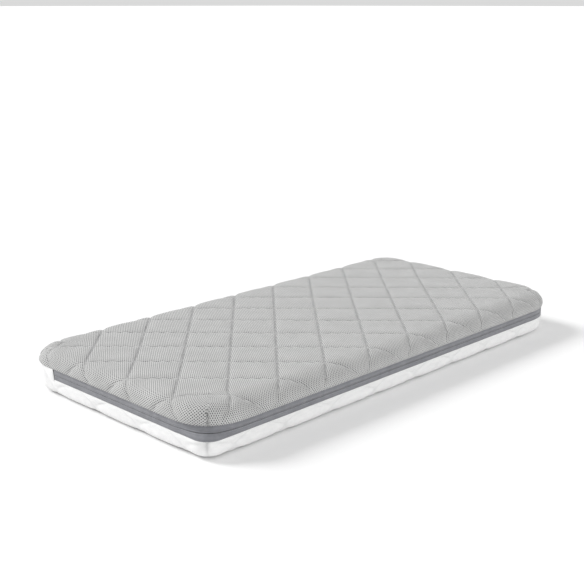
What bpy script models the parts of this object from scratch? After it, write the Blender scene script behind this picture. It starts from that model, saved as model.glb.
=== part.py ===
"""Cot mattress with a zip-off quilted cover, modelled as separate cover layers, foam and zip pieces.

The frame's origin is the middle of the underside.  +X runs along the length, +Y towards the sewn
back edge, and +Z up.  The zip runs round three sides; once it is undone, the front of the top cover
folds back along the line between the zip's two ends.  All sizes are in metres.
"""
import math

import bmesh
import bpy

# ---------------------------------------------------------------- driving dimensions
LENGTH = 1.200             # overall, along X
WIDTH = 0.600              # overall, along Y
HEIGHT = 0.100             # overall, along Z
CORNER_RADIUS = 0.090      # corners seen from above
TOP_EDGE_RADIUS = 0.036    # rounding of the top cover's edge
BASE_EDGE_RADIUS = 0.020   # rounding of the base cover's edge
GAP = 0.0003               # clearance between pieces that touch

BAND_BOTTOM = 0.0380       # lower edge of the zip band
BAND_TOP = 0.0610          # upper edge of the zip band, level with the sewn back seam
BAND_INSET = 0.0030        # the zip band's face lies this far inside the overall outline
BAND_END_Y = 0.200         # the zip stops here on both short sides
END_TAB_LENGTH = 0.005     # fabric tab sewn over each end of the zip
FOLD_RISE = 0.0035         # the top cover folds about a line this far above the top

FACE_THICKNESS = 0.0020    # spacer mesh on top, quilted knit below
WADDING_THICKNESS = 0.0075
LINING_THICKNESS = 0.0008

TAPE_THICKNESS = 0.0008
TAPE_PARTING = 0.0010      # slot between the two zip tapes
COIL_THICKNESS = 0.0016
COIL_HEIGHT = 0.0030       # of each half of the coil

SLIDER_LENGTH = 0.0110     # along the zip
SLIDER_HEIGHT = 0.0090
SLIDER_PLATE = 0.0010
SLIDER_WEB = 0.0004        # passes between the two tapes
WEB_LENGTH = 0.0040
SLIDER_Y = 0.1850          # the parked slider's middle, at the closed end of the zip
POST_LENGTH = 0.0014       # the bail's two posts carry a round pin
POST_THICKNESS = 0.0008
PIN_RADIUS = 0.0005
EYE_RADIUS = 0.0013        # rolled eye of the pull, around the pin
EYE_HEIGHT = 0.0024
PULL_LENGTH = 0.0240       # from the pin to the tip
PULL_WIDTH = 0.0060
PULL_THICKNESS = 0.0010
GRIP_CORNER = 0.0015
NECK_LENGTH = 0.0024       # the pull is narrow this far from the pin, to pass the posts
ROUND_SEGMENTS = 16

FOAM_INSET = 0.0125        # the foam's sides lie this far inside the overall outline
FOAM_BOTTOM = 0.0117
FOAM_TOP = 0.0872
FOAM_EDGE_RADIUS = 0.0220
FOAM_BASE_RADIUS = 0.0100
MEMORY_FOAM_THICKNESS = 0.0300

LABEL_LENGTH = 0.070
LABEL_WIDTH = 0.045
LABEL_THICKNESS = 0.0003
LABEL_X = 0.380
LABEL_Y = 0.140
BINDING_HEIGHT = 0.0100    # bound seam allowance inside the back seam

CORNER_SEGMENTS = 7
EDGE_SEGMENTS = 4
SMOOTH_ANGLE = 35          # degrees; sharper edges stay crisp
SAME_HEIGHT = 1e-5         # points this close in height are level

# ---------------------------------------------------------------- collections and materials
for old in list(bpy.data.objects):
    bpy.data.objects.remove(old, do_unlink=True)


def collection(name):
    made = bpy.data.collections.new(name)
    bpy.context.scene.collection.children.link(made)
    return made


WORLD_ORIGIN = (0.0, 0.0, 0.0)
FOLD = (0.0, BAND_END_Y, HEIGHT + FOLD_RISE)           # the fold line between the zip's ends, along X
PARTS = collection("memory_foam_mattress")
CUTTERS = collection("cutters")


def material(name, colour, roughness, metallic=0.0):
    """A Principled material; colour is linear RGB."""
    made = bpy.data.materials.new(name)
    made.use_nodes = True
    surface = made.node_tree.nodes["Principled BSDF"]
    surface.inputs["Base Color"].default_value = (*colour, 1.0)
    surface.inputs["Roughness"].default_value = roughness
    surface.inputs["Metallic"].default_value = metallic
    return made


# ---------------------------------------------------------------- shape helpers
def box_at(size, centre):
    bm = bmesh.new()
    bmesh.ops.create_cube(bm, size=1.0)
    bmesh.ops.scale(bm, vec=size, verts=bm.verts)
    bmesh.ops.translate(bm, vec=centre, verts=bm.verts)
    return bm


def is_upright(edge):
    direction = edge.verts[1].co - edge.verts[0].co
    return abs(direction.z) > 0.9 * direction.length


def is_level(element, height):
    """True for an edge or face that lies in the level plane at this height."""
    return all(abs(vert.co.z - height) < SAME_HEIGHT for vert in element.verts)


def add_object(name, bm, look=None, location=WORLD_ORIGIN, smooth=True):
    """Turn the bmesh into an object; its points are given in world space, its origin is location."""
    bmesh.ops.recalc_face_normals(bm, faces=bm.faces)
    bmesh.ops.translate(bm, vec=[-value for value in location], verts=bm.verts)
    mesh = bpy.data.meshes.new(name)
    bm.to_mesh(mesh)
    bm.free()
    if smooth:
        mesh.shade_smooth()
        mesh.set_sharp_from_angle(angle=math.radians(SMOOTH_ANGLE))
    made = bpy.data.objects.new(name, mesh)
    made.location = location
    if look is None:
        made.display_type = 'WIRE'
        made.hide_render = True
        CUTTERS.objects.link(made)
    else:
        mesh.materials.append(look)
        PARTS.objects.link(made)
    return made


def rounded_slab(inset, bottom, top, bottom_radius=0.0, top_radius=0.0):
    """The mattress outline moved in by inset, as a closed slab with rounded upright corners."""
    bm = box_at((LENGTH - 2 * inset, WIDTH - 2 * inset, top - bottom), (0.0, 0.0, (bottom + top) / 2))
    upright = [edge for edge in bm.edges if is_upright(edge)]
    bmesh.ops.bevel(bm, geom=upright, offset=CORNER_RADIUS - inset, segments=CORNER_SEGMENTS,
                    profile=0.5, affect='EDGES')
    for height, radius in ((bottom, bottom_radius), (top, top_radius)):
        if radius > 0.0:
            rim = [edge for edge in bm.edges if is_level(edge, height)]
            bmesh.ops.bevel(bm, geom=rim, offset=radius, segments=EDGE_SEGMENTS,
                            profile=0.5, affect='EDGES')
    return bm


def open_face(bm, height):
    """Remove the flat face at this height, which leaves an open surface for Solidify."""
    flat = [face for face in bm.faces if is_level(face, height)]
    bmesh.ops.delete(bm, geom=flat, context='FACES_ONLY')


def solidify(target, thickness):
    """Thicken an open surface inwards."""
    shell = target.modifiers.new("thickness", 'SOLIDIFY')
    shell.thickness = thickness
    shell.offset = -1.0
    shell.use_even_offset = True
    shell.use_rim = True


def cut(target, cutter, operation='DIFFERENCE'):
    tool = target.modifiers.new("cut", 'BOOLEAN')
    tool.operation = operation
    tool.solver = 'EXACT'
    tool.object = cutter


def top_layer(name, depth, thickness, look):
    """One layer of the top cover: a shallow cap, open below, depth inside the outer face.

    It is made in two pieces that meet at the fold line: the flap in front, which opens, and the
    part behind, which stays sewn to the base cover.
    """
    bottom = BAND_TOP + GAP / 2
    for suffix, location, cutter in (("_flap", FOLD, behind_fold), ("_back", WORLD_ORIGIN, before_fold)):
        bm = rounded_slab(depth, bottom, HEIGHT - depth, top_radius=TOP_EDGE_RADIUS - depth)
        open_face(bm, bottom)
        layer = add_object(name + suffix, bm, look, location)
        solidify(layer, thickness)
        cut(layer, cutter)


def base_layer(name, depth, thickness, look):
    """One layer of the base cover: a tray whose wall is low along the zip and full height behind."""
    top = BAND_TOP - GAP
    bm = rounded_slab(depth, depth, top, bottom_radius=BASE_EDGE_RADIUS - depth)
    open_face(bm, top)
    layer = add_object(name, bm, look)
    solidify(layer, thickness)
    cut(layer, zip_notch)
    return layer


def zip_strip(name, inset, bottom, top, thickness, look, location=WORLD_ORIGIN):
    """A thin upright strip that follows the outline along the three zipped sides."""
    bm = rounded_slab(inset, bottom, top)
    open_face(bm, bottom)
    open_face(bm, top)
    strip = add_object(name, bm, look, location)
    solidify(strip, thickness)
    cut(strip, behind_zip)
    return strip


# ---------------------------------------------------------------- cutters
REACH = 2 * LENGTH
notch_back = BAND_END_Y + GAP
zip_notch = add_object("zip_notch",
                       box_at((REACH, REACH, HEIGHT),
                              (0.0, notch_back - REACH / 2, BAND_BOTTOM + HEIGHT / 2)),
                       smooth=False)
strip_back = BAND_END_Y - END_TAB_LENGTH - GAP
behind_zip = add_object("behind_zip",
                        box_at((REACH, REACH, REACH), (0.0, strip_back + REACH / 2, 0.0)),
                        smooth=False)

behind_fold = add_object("behind_fold",
                         box_at((REACH, REACH, REACH), (0.0, BAND_END_Y - GAP / 2 + REACH / 2, 0.0)),
                         smooth=False)
before_fold = add_object("before_fold",
                         box_at((REACH, REACH, REACH), (0.0, BAND_END_Y + GAP / 2 - REACH / 2, 0.0)),
                         smooth=False)

# ---------------------------------------------------------------- top cover, which opens
mesh_look = material("grey_spacer_mesh", (0.47, 0.47, 0.49), 0.85)
wadding_look = material("white_wadding", (0.86, 0.86, 0.84), 0.95)
lining_look = material("white_nonwoven_lining", (0.82, 0.83, 0.84), 0.80)

wadding_depth = FACE_THICKNESS + GAP
lining_depth = wadding_depth + WADDING_THICKNESS + GAP
inner_depth = lining_depth + LINING_THICKNESS

top_layer("cover_top_mesh", 0.0, FACE_THICKNESS, mesh_look)
top_layer("cover_top_wadding", wadding_depth, WADDING_THICKNESS, wadding_look)
top_layer("cover_top_lining", lining_depth, LINING_THICKNESS, lining_look)

# ---------------------------------------------------------------- base cover
knit_look = material("white_quilted_knit", (0.83, 0.84, 0.86), 0.80)

base_layer("cover_base_knit", 0.0, FACE_THICKNESS, knit_look)
base_layer("cover_base_wadding", wadding_depth, WADDING_THICKNESS, wadding_look)
base_layer("cover_base_lining", lining_depth, LINING_THICKNESS, lining_look)

# ---------------------------------------------------------------- foam core
memory_look = material("memory_foam", (0.90, 0.82, 0.60), 0.90)
support_look = material("support_foam", (0.87, 0.87, 0.85), 0.92)

foam_split = FOAM_TOP - MEMORY_FOAM_THICKNESS
add_object("memory_foam_layer",
           rounded_slab(FOAM_INSET, foam_split + GAP, FOAM_TOP, top_radius=FOAM_EDGE_RADIUS),
           memory_look)
add_object("support_foam",
           rounded_slab(FOAM_INSET, FOAM_BOTTOM, foam_split, bottom_radius=FOAM_BASE_RADIUS),
           support_look)

# ---------------------------------------------------------------- zip tapes and coil
tape_look = material("grey_zip_tape", (0.25, 0.26, 0.28), 0.75)
coil_look = material("grey_nylon_coil", (0.22, 0.23, 0.24), 0.45)

band_middle = (BAND_BOTTOM + BAND_TOP) / 2
lower_tape_top = band_middle - TAPE_PARTING / 2
upper_tape_bottom = band_middle + TAPE_PARTING / 2
coil_inset = BAND_INSET + TAPE_THICKNESS + GAP

zip_strip("zip_tape_upper", BAND_INSET, upper_tape_bottom, BAND_TOP - GAP / 2, TAPE_THICKNESS,
          tape_look, FOLD)
zip_strip("zip_tape_lower", BAND_INSET, BAND_BOTTOM + GAP, lower_tape_top, TAPE_THICKNESS, tape_look)
zip_strip("zip_coil_upper", coil_inset, upper_tape_bottom, upper_tape_bottom + COIL_HEIGHT,
          COIL_THICKNESS, coil_look, FOLD)
zip_strip("zip_coil_lower", coil_inset, lower_tape_top - COIL_HEIGHT, lower_tape_top,
          COIL_THICKNESS, coil_look)

# ---------------------------------------------------------------- fabric tabs over the zip's ends
tab_look = material("dark_bartack_tab", (0.16, 0.16, 0.17), 0.85)


def end_tab(name, side):
    """A short upright tab that closes the zip's end; side is -1 at the left and +1 at the right."""
    depth = TAPE_THICKNESS + COIL_THICKNESS + GAP
    size = (depth, END_TAB_LENGTH - 2 * GAP, BAND_TOP - BAND_BOTTOM - 3 * GAP)
    centre = (side * (LENGTH / 2 - BAND_INSET - depth / 2), BAND_END_Y - END_TAB_LENGTH / 2, band_middle)
    return add_object(name, box_at(size, centre), tab_look, smooth=False)


end_tab("zip_end_tab_left", -1)
end_tab("zip_end_tab_right", 1)

# ---------------------------------------------------------------- slider and pull
metal_look = material("grey_enamelled_zinc", (0.30, 0.31, 0.33), 0.35, 0.7)

slider_face_x = LENGTH / 2 - BAND_INSET + GAP          # inner side of the slider's outer plate
plate_outer_x = slider_face_x + SLIDER_PLATE
back_plate_x = LENGTH / 2 - coil_inset - COIL_THICKNESS - GAP - SLIDER_PLATE
pin_x = plate_outer_x + GAP + EYE_RADIUS
post_inner_x = plate_outer_x - GAP                     # sunk into the plate
post_outer_x = pin_x + PIN_RADIUS + GAP / 2
post_z = EYE_HEIGHT / 2 + GAP + POST_THICKNESS / 2


def upright_cylinder(radius, height, centre):
    bm = bmesh.new()
    bmesh.ops.create_cone(bm, cap_ends=True, segments=ROUND_SEGMENTS, radius1=radius, radius2=radius,
                          depth=height)
    bmesh.ops.translate(bm, vec=centre, verts=bm.verts)
    return bm


def fuse(target, name, bm):
    cut(target, add_object(name, bm, smooth=False), 'UNION')


def make_slider():
    """Two plates either side of the tapes, a thin web between them and a bail with a pin outside."""
    outer = box_at((SLIDER_PLATE, SLIDER_LENGTH, SLIDER_HEIGHT),
                   (slider_face_x + SLIDER_PLATE / 2, SLIDER_Y, band_middle))
    slider = add_object("zip_slider", outer, metal_look, (pin_x, SLIDER_Y, band_middle), smooth=False)
    fuse(slider, "slider_inner_plate",
         box_at((SLIDER_PLATE, SLIDER_LENGTH, SLIDER_HEIGHT),
                (back_plate_x + SLIDER_PLATE / 2, SLIDER_Y, band_middle)))
    web_x0, web_x1 = back_plate_x + GAP, plate_outer_x - GAP
    fuse(slider, "slider_web",
         box_at((web_x1 - web_x0, WEB_LENGTH, SLIDER_WEB), ((web_x0 + web_x1) / 2, SLIDER_Y, band_middle)))
    for name, side in (("slider_post_low", -1), ("slider_post_high", 1)):
        fuse(slider, name,
             box_at((post_outer_x - post_inner_x, POST_LENGTH, POST_THICKNESS),
                    ((post_outer_x + post_inner_x) / 2, SLIDER_Y, band_middle + side * post_z)))
    fuse(slider, "slider_pin",
         upright_cylinder(PIN_RADIUS, 2 * post_z, (pin_x, SLIDER_Y, band_middle)))
    return slider


def make_pull():
    """A flat tab with a rolled eye on the slider's pin, lying along the closed zip."""
    eye = upright_cylinder(EYE_RADIUS, EYE_HEIGHT, (pin_x, SLIDER_Y, band_middle))
    pull = add_object("zip_pull", eye, metal_look, (pin_x, SLIDER_Y, band_middle))
    neck_y0, neck_y1 = SLIDER_Y - EYE_RADIUS + GAP, SLIDER_Y - NECK_LENGTH - GAP
    fuse(pull, "pull_neck",
         box_at((PULL_THICKNESS, neck_y0 - neck_y1, EYE_HEIGHT - GAP),
                (pin_x, (neck_y0 + neck_y1) / 2, band_middle)))
    grip_y0, grip_y1 = SLIDER_Y - NECK_LENGTH, SLIDER_Y - PULL_LENGTH
    grip = box_at((PULL_THICKNESS, grip_y0 - grip_y1, PULL_WIDTH),
                  (pin_x, (grip_y0 + grip_y1) / 2, band_middle))
    along_x = [e for e in grip.edges if abs(e.verts[1].co.x - e.verts[0].co.x) > PULL_THICKNESS / 2]
    bmesh.ops.bevel(grip, geom=along_x, offset=GRIP_CORNER, segments=3, profile=0.5, affect='EDGES')
    fuse(pull, "pull_grip", grip)
    bore = upright_cylinder(PIN_RADIUS + GAP, 2 * EYE_HEIGHT, (pin_x, SLIDER_Y, band_middle))
    cut(pull, add_object("pull_bore", bore, smooth=False))
    return pull


make_slider()
make_pull()

# ---------------------------------------------------------------- seam binding and label
add_object("back_seam_binding",
           box_at((LENGTH - 2 * CORNER_RADIUS, LINING_THICKNESS, BINDING_HEIGHT),
                  (0.0, WIDTH / 2 - inner_depth - GAP - LINING_THICKNESS / 2,
                   BAND_TOP - 2 * GAP - BINDING_HEIGHT / 2)),
           lining_look, smooth=False)
label_z = HEIGHT - inner_depth - GAP - LABEL_THICKNESS / 2
add_object("care_label",
           box_at((LABEL_LENGTH, LABEL_WIDTH, LABEL_THICKNESS), (LABEL_X, LABEL_Y, label_z)),
           material("white_satin_label", (0.88, 0.88, 0.86), 0.5), FOLD, smooth=False)
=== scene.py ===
import math

import bpy
import numpy as np
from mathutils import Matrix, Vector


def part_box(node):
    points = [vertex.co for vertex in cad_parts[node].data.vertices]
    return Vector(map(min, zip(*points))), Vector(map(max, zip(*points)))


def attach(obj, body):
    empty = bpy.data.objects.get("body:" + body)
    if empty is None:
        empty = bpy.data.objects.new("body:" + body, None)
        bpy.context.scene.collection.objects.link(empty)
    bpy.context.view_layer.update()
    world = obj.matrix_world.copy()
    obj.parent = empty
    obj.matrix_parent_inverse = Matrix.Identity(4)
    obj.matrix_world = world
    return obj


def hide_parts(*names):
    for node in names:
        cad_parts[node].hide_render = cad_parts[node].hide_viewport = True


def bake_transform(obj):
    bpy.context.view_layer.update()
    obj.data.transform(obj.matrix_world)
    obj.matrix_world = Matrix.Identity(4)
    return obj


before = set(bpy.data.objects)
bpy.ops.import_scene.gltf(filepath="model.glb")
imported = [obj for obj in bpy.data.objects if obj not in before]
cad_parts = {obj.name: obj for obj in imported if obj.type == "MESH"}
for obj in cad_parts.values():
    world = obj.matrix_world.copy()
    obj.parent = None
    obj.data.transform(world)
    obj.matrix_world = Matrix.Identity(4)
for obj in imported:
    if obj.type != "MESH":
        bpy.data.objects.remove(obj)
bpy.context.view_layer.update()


# ------------------------ foam core
# Two slabs sawn from blocks of open-cell polyurethane foam: a firm support layer below, and a
# denser memory foam layer bonded on top of it.  Both have rounded corners to fit the cover.
MM = 0.001
HALF_LENGTH, HALF_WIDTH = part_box("cover_base_knit")[1][:2]
SHOULDER = 0.120  # everything starts to turn down this far inside the outline
CORE_X, CORE_Y = HALF_LENGTH - SHOULDER, HALF_WIDTH - SHOULDER  # the flat part's half sizes
CORNER_RADIUS = 0.090  # seen from above
CORNER_FILL = ((SHOULDER - CORNER_RADIUS) * math.sqrt(2) + CORNER_RADIUS) / SHOULDER - 1
CORNER_CLOTH = SHOULDER - CORNER_RADIUS + CORNER_RADIUS * math.pi / 4  # half way round a corner
FOAM_CELL = 1.6 * MM  # real cells are under 1 mm; drawn coarser so that they show
FOAM_STEP = 9 * MM
FOAM_WAVE = 0.5 * MM  # the saw leaves the faces this wavy


def linear(hex_colour):
    """An sRGB hex colour as linear RGBA."""
    channels = [int(hex_colour[k:k + 2], 16) / 255 for k in (1, 3, 5)]
    return [c / 12.92 if c <= 0.04045 else ((c + 0.055) / 1.055) ** 2.4 for c in channels] + [1.0]


def new_material(name, roughness, sheen=0.0, specular=0.5, coat=0.0):
    """A new material, with what is the same all over its surface."""
    made = bpy.data.materials.new(name)
    made.use_nodes = True
    surface = made.node_tree.nodes["Principled BSDF"]
    surface.inputs["Roughness"].default_value = roughness
    surface.inputs["Sheen Weight"].default_value = sheen
    surface.inputs["Specular IOR Level"].default_value = specular
    surface.inputs["Coat Weight"].default_value = coat
    return made


def add_node(made, kind, settings=None, inputs=None):
    """Adds a shader node; inputs holds values, outputs, or nodes for their first output."""
    node = made.node_tree.nodes.new("ShaderNode" + kind)
    for key, value in (settings or {}).items():
        setattr(node, key, value)
    for key, value in (inputs or {}).items():
        if isinstance(value, bpy.types.Node):
            value = value.outputs[0]
        if isinstance(value, bpy.types.NodeSocket):
            made.node_tree.links.new(value, node.inputs[key])
        else:
            node.inputs[key].default_value = value
    return node


def set_ramp(node, *stops):
    """Gives a colour ramp its stops, each (position, hex colour), and returns its colour."""
    points = node.color_ramp.elements
    while len(points) < len(stops):
        points.new(0.5)
    for point, (position, colour) in zip(points, stops):
        point.position = position
        point.color = linear(colour)
    return node.outputs["Color"]


def finish_surface(made, colour, bump=None):
    """Joins a pattern's colour and bump to the material's surface, and returns the material."""
    surface = made.node_tree.nodes["Principled BSDF"]
    made.node_tree.links.new(colour, surface.inputs["Base Color"])
    if bump:
        made.node_tree.links.new(bump.outputs["Normal"], surface.inputs["Normal"])
    return made


def lumps(x, y, cell, seed):
    """Smooth random lumps between -1 and 1, about one to each cell of this size in metres."""
    table = np.random.RandomState(seed).uniform(-1, 1, (64, 64))
    gx, gy = x / cell + 31.7, y / cell + 17.3
    ix, iy = np.floor(gx).astype(int), np.floor(gy).astype(int)
    fx, fy = gx - ix, gy - iy
    fx, fy = fx * fx * (3 - 2 * fx), fy * fy * (3 - 2 * fy)
    near = table[ix % 64, iy % 64] * (1 - fy) + table[ix % 64, (iy + 1) % 64] * fy
    far = table[(ix + 1) % 64, iy % 64] * (1 - fy) + table[(ix + 1) % 64, (iy + 1) % 64] * fy
    return near * (1 - fx) + far * fx


def smooth_step(x, low_end, high_end):
    """Rises smoothly from 0 at the low end to 1 at the high end."""
    t = np.clip((x - low_end) / (high_end - low_end), 0, 1)
    return t * t * (3 - 2 * t)


def curve_points(start, lean_start, lean_end, end, count=40):
    """Points along a cubic curve, each (reach, height)."""
    t = np.linspace(0, 1, count)[:, None]
    a, b, c, d = (np.array(point, float) for point in (start, lean_start, lean_end, end))
    return a * (1 - t) ** 3 + 3 * b * t * (1 - t) ** 2 + 3 * c * t * t * (1 - t) + d * t ** 3


def profile_of(*stretches):
    """(length along it, reach, height) of a section from the core outwards."""
    points = np.concatenate([np.array(stretch, float).reshape(-1, 2) for stretch in stretches])
    steps = np.hypot(*np.diff(points, axis=0).T)
    points, steps = points[np.concatenate([[True], steps > 1e-7])], steps[steps > 1e-7]
    return np.concatenate([[0], np.cumsum(steps)]), points[:, 0], points[:, 1]


def wrap(p, q, profile):
    """Lays the points (p, q) of a flat cloth on a shape with this section.

    Gives their places, how far each is past the core, its turn round a corner in radians (-1
    where there is no corner), and its place (u, v) in the cloth as woven.
    """
    arc, reaches, heights = profile
    dp, dq = np.abs(p) - CORE_X, np.abs(q) - CORE_Y
    corner = (dp > 1e-9) & (dq > 1e-9)
    along = np.clip(np.maximum(dp, dq), 0, arc[-1])
    eighth = math.pi / 4
    turn = np.where(corner, eighth * np.minimum(dp, dq) / np.maximum(np.maximum(dp, dq), 1e-9), 0)
    turn = np.where(corner & (dq > dp), math.pi / 2 - turn, turn)
    reach = np.interp(along, arc, reaches)
    fill = 1 + CORNER_FILL * np.sin(2 * turn) ** 2 * (reach / SHOULDER) ** 2
    x = np.where(corner, CORE_X + reach * fill * np.cos(turn), np.where(dp > 0, CORE_X + reach, np.abs(p)))
    y = np.where(corner, CORE_Y + reach * fill * np.sin(turn), np.where(dq > 0, CORE_Y + reach, np.abs(q)))
    place = np.stack([np.sign(p) * x, np.sign(q) * y, np.interp(along, arc, heights)], -1)
    first = turn <= eighth
    wall_u = np.where(first, CORE_X + along, CORE_X + CORNER_CLOTH * (math.pi / 2 - turn) / eighth)
    wall_v = np.where(first, CORE_Y + CORNER_CLOTH * turn / eighth, CORE_Y + along)
    over = smooth_step(along, 0.045, 0.100)
    flat_u, flat_v = CORE_X + along * fill * np.cos(turn), CORE_Y + along * fill * np.sin(turn)
    u = np.where(corner, flat_u + (wall_u - flat_u) * over, np.abs(p))
    v = np.where(corner, flat_v + (wall_v - flat_v) * over, np.abs(q))
    return place, along, np.where(corner, turn, -1.0), np.sign(p) * u, np.sign(q) * v


def cloth_grid(arc_end, step):
    """The flat cloth's grid of points (p, q), with lines along the core's edges."""
    axes = []
    for core in (CORE_X, CORE_Y):
        inner = np.linspace(0, core, int(round(core / step)) + 1)
        outer = core + np.linspace(0, arc_end, int(round(arc_end / step)) + 1)[1:]
        half = np.concatenate([inner, outer])
        axes.append(np.concatenate([-half[:0:-1], half]))
    return np.meshgrid(*axes, indexing="ij")


def grid_faces(shape, offset=0, flip=False, rising=None):
    """Faces of a grid; with rising, triangles, cut along the rising diagonal where it is true."""
    index = np.arange(shape[0] * shape[1]).reshape(shape) + offset
    a, b, c, d = (part.ravel() for part in (index[:-1, :-1], index[1:, :-1], index[1:, 1:], index[:-1, 1:]))
    if rising is None:
        faces = np.stack([a, b, c, d], -1)
    else:
        up = rising.ravel()
        one = np.where(up[:, None], np.stack([a, b, c], -1), np.stack([a, b, d], -1))
        two = np.where(up[:, None], np.stack([a, c, d], -1), np.stack([b, c, d], -1))
        faces = np.concatenate([one, two])
    return (faces[:, ::-1] if flip else faces).tolist()


def add_piece(name, points, faces, look):
    """A mesh piece from points and faces, with its material."""
    mesh = bpy.data.meshes.new(name)
    mesh.from_pydata(np.asarray(points, float).tolist(), [], faces)
    mesh.materials.append(look)
    mesh.shade_smooth()
    piece = bpy.data.objects.new(name, mesh)
    bpy.context.scene.collection.objects.link(piece)
    return piece


def closed_shell(name, outer, inner, look, rising=None, cloth=None, bond_dots_and_seam_shade=None, upside_down=False):
    """A closed layer between two grids of points, joined round their rims.

    cloth is the (u, v) of the points in the flat cloth, stored in millimetres for the weave, and
    the next argument is how much painted shade each point gets along the seams and darts, from 0 to 1.
    """
    shape = outer.shape[:2]
    count = shape[0] * shape[1]
    index = np.arange(count).reshape(shape)
    ring = np.concatenate([index[:, 0], index[-1, 1:], index[-2::-1, -1], index[0, -2:0:-1]])
    after = np.roll(ring, -1)
    rim = np.stack([ring, ring + count, after + count, after], -1)
    faces = (grid_faces(shape, 0, upside_down, rising) + grid_faces(shape, count, not upside_down)
             + (rim[:, ::-1] if upside_down else rim).tolist())
    piece = add_piece(name, np.concatenate([outer.reshape(-1, 3), inner.reshape(-1, 3)]), faces, look)
    if cloth is not None:
        third = np.zeros(count) if bond_dots_and_seam_shade is None else bond_dots_and_seam_shade.ravel()
        values = np.tile(np.stack([cloth[0].ravel() / MM, cloth[1].ravel() / MM, third], -1), (2, 1))
        stored = piece.data.attributes.new("cloth_mm", 'FLOAT_VECTOR', 'POINT')
        stored.data.foreach_set("vector", values.astype(np.float32).ravel())
    return piece


def foam_material(name, light, shade):
    """Open-cell foam, sawn: dead matt, with pinhole cells and a soft mottle."""
    made = new_material(name, roughness=0.95, sheen=0.1, specular=0.2)
    place = add_node(made, "TexCoord").outputs["Object"]
    cells = add_node(made, "TexVoronoi", inputs={"Vector": place, "Scale": 1 / FOAM_CELL})
    mottle = add_node(made, "TexNoise", inputs={"Vector": place, "Scale": 28.0, "Detail": 5.0})
    mixed = add_node(made, "Math", {"operation": 'MULTIPLY_ADD'},
                     {0: cells.outputs["Distance"], 1: 0.45, 2: mottle.outputs["Fac"]})
    ramp = add_node(made, "ValToRGB", inputs={"Fac": mixed})
    bump = add_node(made, "Bump",
                    inputs={"Height": cells.outputs["Distance"], "Strength": 0.5, "Distance": 0.6 * MM})
    return finish_surface(made, set_ramp(ramp, (0.30, shade), (0.75, light)), bump)


def foam_slab(name, node, look, edge, depth, seed):
    """A sawn slab in the node's box; its upper edge is rounded this wide and this deep."""
    low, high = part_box(node)
    rim, top = high[0] - CORE_X, high[2]
    rounded = curve_points((rim - edge, top), (rim - edge / 3, top),
                           (rim, top - depth / 3), (rim, top - depth))
    upper = profile_of([(0, top)], rounded, [(rim, low[2])])
    p, q = cloth_grid(upper[0][-1], FOAM_STEP)
    outer, along, _, _, _ = wrap(p, q, upper)
    inner, _, _, _, _ = wrap(p, q, (upper[0], upper[0] * rim / upper[0][-1], upper[1] * 0 + low[2]))
    wave = FOAM_WAVE * (lumps(p, q, 0.05, seed) - 1)
    outer[..., 2] += wave * smooth_step(-along, 0.02 - rim, 0.06 - rim)
    slab = closed_shell(name, outer, inner, look)
    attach(slab, "base")
    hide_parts(node)
    return slab


support_slab = foam_slab("support_foam_slab", "support_foam",
                         foam_material("polyurethane support foam, sawn", "#F3F1EA", "#DAD7CC"),
                         edge=4 * MM, depth=4 * MM, seed=3)
memory_slab = foam_slab("memory_foam_slab", "memory_foam_layer",
                        foam_material("viscoelastic memory foam, sawn", "#F6EFD6", "#E3D8B4"),
                        edge=38 * MM, depth=25 * MM, seed=4)


# ------------------------ base cover
# The lower half of the cover: white polyester knit quilted on wadding.  It wraps round the
# bottom edge up to the zip, and at the back, where there is no zip, up to the top cover's seam.
ZIP_LOW_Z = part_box("zip_tape_lower")[0][2]
SEAM_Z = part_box("cover_base_knit")[1][2]
ZIP_END_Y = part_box("zip_end_tab_left")[1][1]
BAND_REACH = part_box("zip_tape_lower")[1][0] - CORE_X  # from the core to the band's face
DIAMOND_X, DIAMOND_Y = 0.1361, 0.1424  # the quilting lines cross this far apart
LINE_DENSITY = math.hypot(1 / DIAMOND_X, 1 / DIAMOND_Y)  # lines in a metre, across them
BASE_FIRST_X, BASE_FIRST_Y = 0.0700, 0.0330  # its first crossing, from the left and back edges
BASE_STEP = 4 * MM
BASE_LOFT = 2.2 * MM  # the pillows stand this far above the stitch lines
BASE_UNDER_Z = 2.2 * MM  # the stitch lines underneath clear the floor by this
BASE_THICKNESS = 5.0 * MM  # of the quilt, below its stitch lines
BASE_EDGE_Z = 0.0245  # the bottom edge's roundness ends here
BASE_DART = 1.8 * MM  # depth of the dart's groove at each corner
BASE_DART_LENGTH = 62 * MM
DART_WIDTH = 2.2 * MM  # half of it, for both halves of the cover
BASE_STEEPNESS, BASE_CROWN = 8.0, 0.15  # of its pillows
PUCKER = 0.6 * MM  # height of the gathers beside the stitches, on both halves of the cover
FRONT_LOW_RADIUS = 0.036  # of the front left corner, which the dart draws out...
FRONT_LOW_END = (0.037, 0.058)  # ...and which grows round again between these heights
BACK_LOW_RADIUS = 0.070  # of the back left corner, which the zip doesn't reach
BACK_LOW_END = (0.065, 0.098)


def quilt_lines(u, v, first_x, first_y):
    """Both families of quilting lines: each point's place across them, in line spacings."""
    a = (u + HALF_LENGTH - first_x) / DIAMOND_X
    b = (HALF_WIDTH - first_y - v) / DIAMOND_Y
    return a + b, b - a


def pillow(one, two, plump, crown):
    """Height of the quilted pillows: 0 on the stitch lines, then a steep side and a low crown to 1."""
    rise = []
    for line in (one, two):
        inside = 1 - 2 * np.abs(line - np.round(line))
        rise.append(1 - (1 - crown) * inside ** plump - crown * inside ** 2.2)
    return rise[0] * rise[1]


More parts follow.
